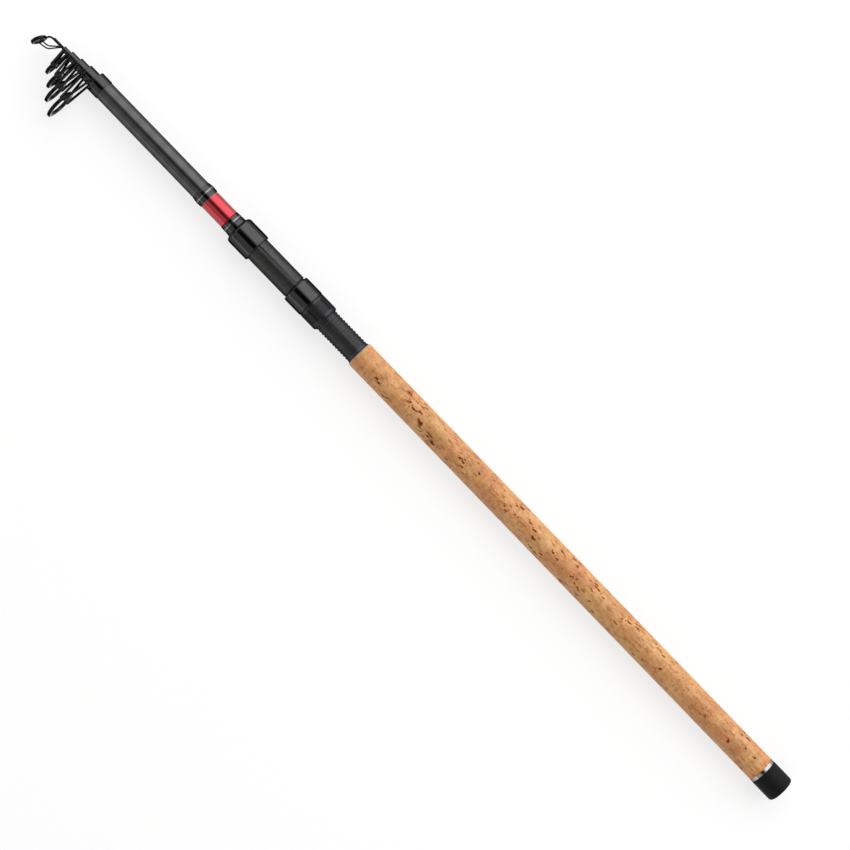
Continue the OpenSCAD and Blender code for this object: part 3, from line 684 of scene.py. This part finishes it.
# %% [markdown]
# The tip-top is the last guide. Its tube closes the tip, and a short wire in front and two long ones behind carry a
# hoop that leans towards the tip. It sits a little turned, so it is modelled upright and turned at the end.

# %% Tip-top tube, hoop and ring
TIP_TWIST, TIP_LEAN, TIP_HOOP_R, TIP_HOOP_WALL, TIP_RING_WALL = 14, 25, 7.8, 1.1, 2.0
TIP_TUBE_LENGTH, TIP_TUBE_R, TIP_TUBE_BORE, TIP_REACH, TIP_RISE = 12.5, 1.46, 0.81, 8.7, 11.4

tube_rear, _, _ = span("tip_top_frame")
tube_front = tube_rear + TIP_TUBE_LENGTH
hoop_at = Vector((tube_front + TIP_REACH, TIP_RISE, 0))
lean = Matrix.Translation(hoop_at * MM) @ Matrix.Rotation(math.radians(-TIP_LEAN), 4, "Z")
twist = Matrix.Rotation(math.radians(TIP_TWIST), 4, "X")
tip_hoop = hoop("hoop", 0, HOOP_HALF, (TIP_HOOP_R - TIP_HOOP_WALL, HOOP_BREAK), (TIP_HOOP_R, 0.4), steps=80)
tip_hoop.data.transform(lean)
parts = [turned("tip_top_wire_frame", [
    (tube_rear, TIP_TUBE_BORE), (tube_rear, TIP_TUBE_R, 0.2), (tube_front, TIP_TUBE_R, 0.4), (tube_front, 0)],
    steps=48), tip_hoop]
ring_r = TIP_HOOP_R - TIP_HOOP_WALL - GLUE
ceramic = hoop(
    "tip_top_ceramic", 0, RING_HALF, (ring_r, RING_BREAK), (ring_r - TIP_RING_WALL, RING_ROUND), steps=80)
ceramic.data.transform(twist @ lean)
pieces["tip_top_ring"] = ceramic
print("tip-top hoop at", hoop_at)

# %% Tip-top wires
TIP_WIRE_R, TIP_BRACE_R, TIP_JOIN, FOOT_BEAD_R, JOIN_BEAD_R = 0.7, 1.0, 92, 0.9, 0.8
BRACE = ((-1, 0.1, 0), (4.1, 1.9, 0))
BEND_AHEAD, BEND_UP, BEND_ASIDE = 9.7, 9.6, 4.3


def on_hoop(angle, side):
    """A point in the middle of the leaning hoop's wire, at an angle from its edge nearest the rod."""
    r, turn = TIP_HOOP_R - TIP_HOOP_WALL / 2, math.radians(angle)
    return lean @ (Vector((0, -r * math.cos(turn), side * r * math.sin(turn))) * MM) / MM


parts.append(bent_wire([*((tube_front + x, y, z) for x, y, z in BRACE), on_hoop(0, 0)], TIP_BRACE_R))
for side in (-1, 1):
    foot = Vector((tube_rear + LEG_INSET, 0, side * (TIP_TUBE_R - TIP_WIRE_R / 2)))
    bend = Vector((tube_rear + BEND_AHEAD, BEND_UP, side * BEND_ASIDE))
    join = on_hoop(TIP_JOIN, side)
    parts.append(bent_wire([foot, foot.lerp(bend, 0.15), foot.lerp(bend, 0.85), bend, join], TIP_WIRE_R))
    parts += [bead(foot, FOOT_BEAD_R), bead(join, JOIN_BEAD_R)]
tip_top = joined("tip_top_wire_frame", parts)
tip_top.data.transform(twist)
pieces["tip_top_frame"] = tip_top
print("tip-top:", len(tip_top.data.polygons), "faces")

# %% [markdown]
# ## Finishes
# Each finish is a principled shader fed by pattern nodes. Colours are sRGB hex values, as a paint chart gives them,
# and one function turns them to the linear values of the shader. Patterns are sized in real millimetres. One
# function adds a node, sets it and links it, so that a finish reads as a list of what it is made of.

# %% Colours, sizes and nodes
# Settings of a mix node that blends two colours, and of one that multiplies them.
BLEND = {"out": 2, "data_type": "RGBA"}
MULTIPLY = {**BLEND, "blend_type": "MULTIPLY"}


def linear(code):
    """The linear colour of an sRGB hex code."""
    parts = [int(code[i:i + 2], 16) / 255 for i in (1, 3, 5)]
    return [c / 12.92 if c <= 0.04045 else ((c + 0.055) / 1.055) ** 2.4 for c in parts] + [1.0]


def per_metre(size):
    """How many features of a size in millimetres lie on a metre, which is a texture's scale."""
    return 1 / (size * MM)


def add(tree, kind, inputs=None, out=0, **settings):
    """Adds a shader node with settings, gives each input a value or a link, and returns one of its outputs."""
    node = tree.nodes.new("ShaderNode" + kind)
    for setting, value in settings.items():
        setattr(node, setting, value)
    for socket, value in (inputs or {}).items():
        if isinstance(value, bpy.types.NodeSocket):
            tree.links.new(value, node.inputs[socket])
        else:
            node.inputs[socket].default_value = value
    return node.outputs[out]


print("node tools ready")

# %% [markdown]
# A finish starts with its shader's plain values, and is kept under the material slots and single pieces that wear
# it. Most vary between two tones along a pattern, and some shine more or less along it.

# %% Starting a finish
finishes = {}


def socket_of(tree, word):
    """A socket of a finish's shader, by its name in small letters with _ for a space."""
    return tree.nodes["Principled BSDF"].inputs[word.replace("_", " ").title().replace("Ior", "IOR")]


def finish(name, *wearers, **values):
    """A new finish for some slots or pieces; returns its node tree and its Object coordinates."""
    material = bpy.data.materials.new(name)
    material.use_nodes = True
    for word, value in values.items():
        socket_of(material.node_tree, word).default_value = value
    finishes.update(dict.fromkeys(wearers, material))
    print("finish:", name, "for", *wearers)
    return material.node_tree, add(material.node_tree, "TexCoord", out="Object")


def link(tree, **results):
    """Links the results of pattern nodes to the sockets of a finish's shader."""
    for word, result in results.items():
        tree.links.new(result, socket_of(tree, word))


def follow(tree, pattern, low, high, rough=None):
    """Lets a finish's colour, and its roughness where that is given, follow a pattern."""
    link(tree, base_color=add(tree, "Mix", {0: pattern, 6: linear(low), 7: linear(high)}, **BLEND))
    if rough:
        link(tree, roughness=add(tree, "MapRange", {"Value": pattern, "To Min": rough[0], "To Max": rough[1]}))


print("finish tools ready")

# %% [markdown]
# Carbon tube under clear lacquer: graphite fibre mirrors light like a dark metal, so the tube is grey where a
# softbox faces it and nearly black where none does. The tape that wraps it while it cures leaves faint bands of
# tone along it.

# %% Lacquered carbon tube
# With this scale, a wave texture's waves are one unit long.
WAVE = math.tau / 20

tree, place = finish(
    "lacquered_carbon_tube", "carbon_blank", metallic=0.85, roughness=0.21, specular_tint=linear("#8a8a8a"))
# Real tape leaves a band every 2 or 3 mm, and fibres are far finer than 1.1 mm: both are drawn coarser, to show.
bands = add(tree, "TexWave", {"Vector": place, "Scale": WAVE * per_metre(15.7), "Distortion": 1.5, "Detail": 2.0},
            out="Fac", bands_direction="X")
grain = add(tree, "TexNoise", {"Vector": place, "Scale": per_metre(1.1), "Detail": 3.0})
follow(tree, add(tree, "Math", {0: bands, 1: grain}, operation="MULTIPLY"), "#4b4b4c", "#565657")
link(tree, normal=add(tree, "Bump", {"Height": bands, "Strength": 0.03, "Distance": 0.1 * MM}))

# %% [markdown]
# They mirror the softboxes alike, so one dark, glossy finish serves. Its edge tint keeps the rims dark.

# %% Epoxied black thread
tree, place = finish(
    "black_thread_under_epoxy", "black_whipping", metallic=1.0, roughness=0.12, specular_tint=linear("#7c7c7c"))
# Real thread lies 0.3 mm apart; it is drawn at 0.9 mm so that it shows.
winding = add(tree, "TexWave", {"Vector": place, "Scale": WAVE * per_metre(0.9), "Distortion": 0.4}, out="Fac",
              bands_direction="X")
follow(tree, winding, "#3c3c3d", "#444446")
link(tree, normal=add(tree, "Bump", {"Height": winding, "Strength": 0.06, "Distance": 0.1 * MM}))

# %% [markdown]
# The bright rings are aluminium, turned and then buffed. Turning leaves fine lines round them, which break up the
# mirror image a little. The two narrow rings are smoked to a darker silver.

# %% Buffed aluminium
for name, wearers, low, high in (
        ("buffed_aluminium", ["bright_trim"], "#96969a", "#a8a8aa"),
        ("smoked_aluminium", ["front_trim_ring", "rear_trim_ring"], "#757577", "#838385")):
    tree, place = finish(name, *wearers, metallic=1.0, specular_tint=linear("#8a8a8a"))
    lines = add(tree, "Mapping", {"Vector": place, "Scale": [per_metre(size) for size in (0.11, 8, 8)]})
    turning = add(tree, "TexNoise", {"Vector": lines, "Scale": 1.0, "Detail": 2.0})
    follow(tree, turning, low, high, rough=(0.1, 0.22))

# %% [markdown]
# The red band is a metallic film under clear lacquer. The film's flakes shine red in the softboxes and stay deep
# red between them, and the lacquer adds a little white on top.

# %% Red metallic film under lacquer
tree, place = finish("red_metallic_film", "red_lacquer", metallic=0.8, roughness=0.2, coat_weight=0.8,
                     coat_roughness=0.08, coat_ior=1.5, specular_tint=linear("#8c4046"))
# Real flakes are under 0.1 mm; they are drawn at 0.4 mm so that they show.
follow(tree, add(tree, "TexVoronoi", {"Vector": place, "Scale": per_metre(0.4)}), "#ba2c36", "#aa2630")

# %% [markdown]
# The seat is moulded from graphite-filled nylon in a spark-eroded mould. It comes out matte, with a fine even
# texture that spreads the softbox over the whole lit side, and the graphite at its surface mirrors light as a dark
# metal does. The keyways and the nut's flutes are darkened with painted shade.

# %% Moulded nylon
def moulded_nylon(name, *wearers, low, high, rough):
    """Graphite-filled nylon, matte with a fine even texture; returns its node tree."""
    tree, place = finish(name, *wearers, metallic=0.9, specular_tint=linear("#606060"))
    # The mould's real grit is about 0.2 mm; it is drawn at 1.7 mm so that it shows.
    grit = add(tree, "TexNoise", {"Vector": place, "Scale": per_metre(1.7), "Detail": 4.0, "Roughness": 0.6})
    cloud = add(tree, "TexNoise", {"Vector": place, "Scale": per_metre(3.8), "Detail": 3.0})
    clean = add(tree, "Mix", {0: cloud, 6: linear(low), 7: linear(high)}, **BLEND)
    groove = add(tree, "Attribute", out="Fac", attribute_name="groove")
    # Keyways and flutes darken towards near black here: painted shade in the grooves.
    groove_shade = add(tree, "MapRange", {"Value": groove, "To Min": 1.0, "To Max": 0.18})
    link(tree, base_color=add(tree, "Mix", {0: 1.0, 6: clean, 7: groove_shade}, **MULTIPLY),
         roughness=add(tree, "MapRange", {"Value": grit, "To Min": rough - 0.06, "To Max": rough + 0.1}),
         normal=add(tree, "Bump", {"Height": grit, "Strength": 0.4, "Distance": 0.2 * MM}))
    return tree


moulded_nylon("moulded_nylon", "seat_plastic", "rear_collar", low="#353535", high="#4b4b4b", rough=0.37)

# %% [markdown]
# The nut is the same nylon, but its grip, between the rims, has a coarser texture and looks darker. The grip is
# found by its stations along the rod, and changes the colour and the roughness that the nylon already has.

# %% Nut's grip
tree = moulded_nylon("moulded_nylon_nut", "lock_nut", low="#38383a", high="#414143", rough=0.3)
station = add(tree, "SeparateXYZ", {0: add(tree, "TexCoord", out="Object")}, out="X")
half = (flute_front - flute_rear) / 2 * MM
grip = add(tree, "Math", {0: station, 1: flute_at.x, 2: half}, operation="COMPARE")
for word, change in (("base_color", 0.68), ("roughness", 1.5)):
    plain = socket_of(tree, word).links[0].from_socket
    level = add(tree, "MapRange", {"Value": grip, "To Min": 0.9, "To Max": change})
    link(tree, **{word: add(tree, "Mix", {0: 1.0, 6: plain, 7: level}, **MULTIPLY)})

# %% [markdown]
# The hoods are aluminium, polished and black-anodised. The film is clear enough for the metal to mirror the room,
# only much darker, so the hoods show a grey half, a black stripe and a softer half.

# %% Black-anodised hood
tree, place = finish(
    "black_anodised_aluminium", "hood_metal", "mouth_collar", metallic=1.0, specular_tint=linear("#7c7c7c"))
smear = add(tree, "TexNoise", {"Vector": place, "Scale": per_metre(6.7), "Detail": 3.0})
follow(tree, smear, "#3d3d3d", "#434343", rough=(0.08, 0.14))

# %% [markdown]
# Cork is honey-brown, with large pinker patches and small rusty ones. The blocks that the grip is glued from differ
# a little, growth rings cross it as faint bands, and a fine grain covers everything. Each of these is noise with
# lumps of its own size, and they are laid over each other from large to small.

# %% Sanded cork
tree, place = finish("sanded_cork", "cork", roughness=0.55, ior=1.45, specular_ior_level=0.75)


def noise_of(along, around, detail):
    """Noise with lumps of a size in millimetres along and around the grip, spread over 0 to 1."""
    scale = [per_metre(size) for size in (along, around, around)]
    spot = add(tree, "Mapping", {"Vector": place, "Scale": scale})
    lumps = add(tree, "TexNoise", {"Vector": spot, "Scale": 1.0, "Detail": detail, "Roughness": 0.55})
    return add(tree, "MapRange", {"Value": lumps, "From Min": 0.3, "From Max": 0.7})


patches = add(tree, "Mix", {0: noise_of(34, 18, 2.0), 6: linear("#d3a367"), 7: linear("#c58552")}, **BLEND)
rust = add(tree, "MapRange", {"Value": noise_of(9, 4.5, 3.0), "From Min": 0.6, "From Max": 0.9, "To Max": 0.8})
tone = add(tree, "Mix", {0: rust, 6: patches, 7: linear("#b46a3b")}, **BLEND)
waver = add(tree, "TexNoise", {"Vector": place, "Scale": per_metre(3.3), "Detail": 2.0}, out="Color")
blocks = add(tree, "Mapping", {"Vector": place, "Scale": [per_metre(size) for size in (15, 8, 8)]})
blocks = add(tree, "VectorMath", {0: blocks, 1: waver}, operation="ADD")
cells = add(tree, "TexVoronoi", {"Vector": blocks, "Scale": 1.0}, out="Color")
cells = add(tree, "SeparateXYZ", {0: cells}).node.outputs
blush = add(tree, "Mix", {0: cells["Y"], 6: linear("#ffffff"), 7: linear("#f5ead4")}, **BLEND)
tone = add(tree, "Mix", {0: 1.0, 6: tone, 7: blush}, **MULTIPLY)
grain = noise_of(1.6, 1.6, 3.0)
for lumps, low, high in ((cells["X"], 0.93, 1.08), (noise_of(4, 60, 2.0), 0.9, 1.1),
                         (noise_of(6, 2.4, 4.0), 0.86, 1.12), (grain, 0.88, 1.1)):
    change = add(tree, "MapRange", {"Value": lumps, "To Min": low, "To Max": high})
    tone = add(tree, "Mix", {0: 1.0, 6: tone, 7: change}, **MULTIPLY)

# %% [markdown]
# The pores take their stain from the attribute that the mesh keeps: a light stain is a brown streak, a strong one
# nearly black-brown, and neither shines as the sanded face does. Noise makes the pores' edges look torn.

# %% Stained pores
STAINS = ((0.34, "#ffffff"), (0.48, "#dcc2aa"), (0.6, "#ad8c72"), (0.8, "#705540"))

pore = add(tree, "Attribute", out="Fac", attribute_name="pore")
torn = add(tree, "MapRange", {"Value": noise_of(1.8, 0.9, 3.0), "To Min": -0.12, "To Max": 0.12})
stain = add(tree, "ValToRGB", {"Fac": add(tree, "Math", {0: pore, 1: torn}, operation="ADD")})
ramp = stain.node.color_ramp.elements
for position, shade in STAINS:
    ramp.new(position).color = linear(shade)
ramp[0].color, ramp[-1].color = linear("#ffffff"), linear("#553f2c")
shine = add(tree, "MapRange", {"Value": pore, "From Min": 0.35, "From Max": 0.7, "To Min": 0.75, "To Max": 0.1})
link(tree, base_color=add(tree, "Mix", {0: 1.0, 6: tone, 7: stain}, **MULTIPLY), specular_ior_level=shine,
     normal=add(tree, "Bump", {"Height": grain, "Strength": 0.2, "Distance": 0.2 * MM}))
print("stains:", len(ramp))

# %% [markdown]
# The butt cap is black rubber from a blasted mould: matte, with a fine grit and soft clouds of bloom. It mirrors
# very little, so its specular level is low.

# %% Moulded rubber
tree, place = finish("moulded_rubber", "black_rubber", ior=1.5, specular_ior_level=0.12)
bloom = add(tree, "TexNoise", {"Vector": place, "Scale": per_metre(7), "Detail": 4.0})
grit = add(tree, "TexNoise", {"Vector": place, "Scale": per_metre(0.67), "Detail": 2.0})
follow(tree, bloom, "#0f0f0f", "#171717", rough=(0.5, 0.7))
link(tree, normal=add(tree, "Bump", {"Height": grit, "Strength": 0.3, "Distance": 0.1 * MM}))

# %% [markdown]
# The guides' wire is steel with a black nickel plating, glossy but so thin in the picture that only a fine line of
# light runs along it. The collars are polished further and look a little lighter.

# %% Black-plated wire
tree, place = finish("black_nickel_plated_wire", "guide_wire", metallic=1.0, specular_tint=linear("#505052"))
plating = add(tree, "TexNoise", {"Vector": place, "Scale": per_metre(1.25), "Detail": 2.0})
wire = add(tree, "Mix", {0: plating, 6: linear("#1c1c1e"), 7: linear("#262628")}, **BLEND)
collar = add(tree, "Attribute", out="Fac", attribute_name="collar")
link(tree, base_color=add(tree, "Mix", {0: collar, 6: wire, 7: linear("#404041")}, **BLEND),
     roughness=add(tree, "MapRange", {"Value": collar, "To Min": 0.28, "To Max": 0.12}))

# %% [markdown]
# The rings are a dark oxide ceramic, lapped to shine like glass, so that the line slides over them. Their sintered
# grains, drawn coarser than they are so that they show, give a faint mottle.

# %% Oxide ceramic
tree, place = finish("lapped_oxide_ceramic", "guide_ceramic", ior=1.76, specular_ior_level=0.2)
sinter = add(tree, "TexNoise", {"Vector": place, "Scale": per_metre(0.83), "Detail": 2.0})
follow(tree, sinter, "#0b0b0c", "#121214", rough=(0.08, 0.16))

# %% [markdown]
# The bushes under the seat are wound from masking tape, matte and cream. They lie inside and keep their CAD solids,
# but whoever takes the seat off sees the tape's turns.

# %% Wound tape bush
tree, place = finish("wound_masking_tape", "card_bush", roughness=0.8, ior=1.45)
layers = add(tree, "TexWave", {"Vector": place, "Scale": WAVE * per_metre(10.5), "Distortion": 3.0, "Detail": 3.0},
             out="Fac", bands_direction="X")
follow(tree, layers, "#d8c08a", "#c7ab72")

# %% [markdown]
# ## Putting the pieces on their bodies
# Each new piece takes the place of its CAD node, rides on the body that carries that node, and gets the finish of
# the node's material slot, or its own. CAD solids that stay, inside the rod, get their finish too.

# %% Pieces on their bodies
body_of = {node: body for body, nodes in frame["record"]["behaviour"]["bodies"].items() for node in nodes}
slot_of = {part["node"]: part["material_slot"] for part in frame["record"]["subparts"]}


def dress(shown, node):
    """Gives an object a node's own finish, or else that of the node's slot."""
    shown.data.materials.clear()
    shown.data.materials.append(finishes.get(node, finishes[slot_of[node]]))


for node, piece in pieces.items():
    dress(piece, node)
    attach(piece, body_of[node])
    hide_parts(node)
solids = {node: solid for node, solid in frame["nodes"].items() if node not in pieces}
for node, solid in solids.items():
    dress(solid, node)
print("new pieces:", len(pieces), "CAD solids kept:", *solids)

# %% [markdown]
# ## The studio
# The rod lies on a pale paper floor and is seen from straight above. The paper is brightened for the eye and for
# mirror images of it, and not for the light that it throws on the rod, so it looks white and doesn't wash
# the rod out.

# %% Floor
FLOOR_DROP, FLOOR_GLOW, FLOOR_SIZE, ROD_MIDDLE = 0.2, 0.72, 12, 0.5

floor_z = CAD_BOX[0].z - FLOOR_DROP * MM
only()
bpy.ops.mesh.primitive_plane_add(size=FLOOR_SIZE, location=(ROD_MIDDLE, 0, floor_z))
floor = bpy.context.object
floor.name = "floor"
tree, place = finish("pale_paper_floor", "floor", roughness=0.9, ior=1.3, emission_color=(1, 1, 1, 1))
fibre = add(tree, "TexNoise", {"Vector": place, "Scale": per_metre(2.5)})
ray = add(tree, "LightPath").node.outputs
seen = add(tree, "Math", {0: ray["Is Camera Ray"], 1: ray["Is Glossy Ray"]}, operation="MAXIMUM")
seen = add(tree, "Math", {0: seen, 1: ray["Is Transmission Ray"]}, operation="MAXIMUM")
paper = add(tree, "Mix", {0: fibre, 6: linear("#949494"), 7: linear("#989898")}, **BLEND)
link(tree, base_color=add(tree, "Mix", {0: seen, 6: linear("#f4f4f4"), 7: paper}, **BLEND),
     emission_strength=add(tree, "Math", {0: seen, 1: FLOOR_GLOW}, operation="MULTIPLY"))
floor.data.materials.append(finishes["floor"])
print("floor at", round(floor_z / MM, 1), "mm")

# %% [markdown]
# A wide softbox on one side lights the rod, a weaker one on the other side fills it, and between them, where the
# camera is, nothing shines. Round glossy pieces then show a bright half, a dark stripe and a softer half, which
# makes them look round. Two small softboxes light the ends.

# %% Softboxes
LAMP_DISTANCE, LONG_BOX, END_BOX = 2.0, 4.4, 1.6
WHITE, WARM = (1.0, 1.0, 1.0), (1.0, 1.0, 0.97)
# The angles between which each softbox stands, its radiance, length and tint, and its turn about the upright.
SOFTBOXES = {
    "key_softbox": (11, 90, 1.0, LONG_BOX, WHITE, 0),
    "key_softbox_heart": (22, 90, 1.25, LONG_BOX, WHITE, 0),
    "fill_softbox": (-22.5, -86, 0.6, LONG_BOX, WARM, 0),
    "rim_softbox": (-71, -87, 1.0, LONG_BOX, WARM, 0),
    "tip_softbox": (30, 82, 0.5, END_BOX, WHITE, 90),
    "butt_softbox": (38, 84, 0.5, END_BOX, WHITE, -90)}

for name, (first, last, radiance, length, tint, turn) in SOFTBOXES.items():
    angle, half = math.radians((first + last) / 2), math.radians(abs(last - first) / 2)
    way = Matrix.Rotation(math.radians(turn), 4, "Z") @ Matrix.Rotation(angle, 4, "X")
    bpy.ops.object.light_add(type="AREA", location=Vector((ROD_MIDDLE, 0, 0)) + way @ Vector((0, 0, LAMP_DISTANCE)))
    lamp = bpy.context.object
    lamp.name = name
    lamp.rotation_euler = way.to_euler()
    lamp.data.shape = "RECTANGLE"
    lamp.data.size, lamp.data.size_y = length, 2 * LAMP_DISTANCE * math.tan(half)
    lamp.data.energy = radiance * math.pi * lamp.data.size * lamp.data.size_y
    lamp.data.color = tint
    lamp.visible_camera = False
print("softboxes:", len(SOFTBOXES))

# %% [markdown]
# The rest of the room is nearly dark, so that the stripe between the softboxes stays black.

# %% Room
ROOM = (0.04, 0.04, 0.04, 1.0)

world = bpy.data.worlds.new("studio")
bpy.context.scene.world = world
world.use_nodes = True
world.node_tree.nodes["Background"].inputs["Color"].default_value = ROOM
print("room at", ROOM[0])

# %% [markdown]
# The camera hangs 2.4 m above the rod and is turned so that the rod runs from corner to corner of the picture, with
# the tip up on the left. Its angle of view follows from the picture's 850 pixels at 0.95 mm each.

# %% Camera
PIXELS, PIXEL_MM, CAMERA_HEIGHT, CLIP_END = 850, 0.95, 2.4, 50
LOOK_AT, ROLL = Vector((0.4850, 0.0019, 0)), math.radians(225.95)

camera = bpy.data.objects.new("camera", bpy.data.cameras.new("camera"))
bpy.context.scene.collection.objects.link(camera)
camera.location = LOOK_AT + Vector((0, 0, CAMERA_HEIGHT))
camera.rotation_euler = (0, 0, ROLL)
camera.data.angle = 2 * math.atan(PIXELS * PIXEL_MM * MM / 2 / CAMERA_HEIGHT)
camera.data.clip_end = CLIP_END
bpy.context.scene.camera = camera
bpy.context.scene.view_settings.view_transform = "Standard"
print("camera angle", round(math.degrees(camera.data.angle), 2), "degrees")
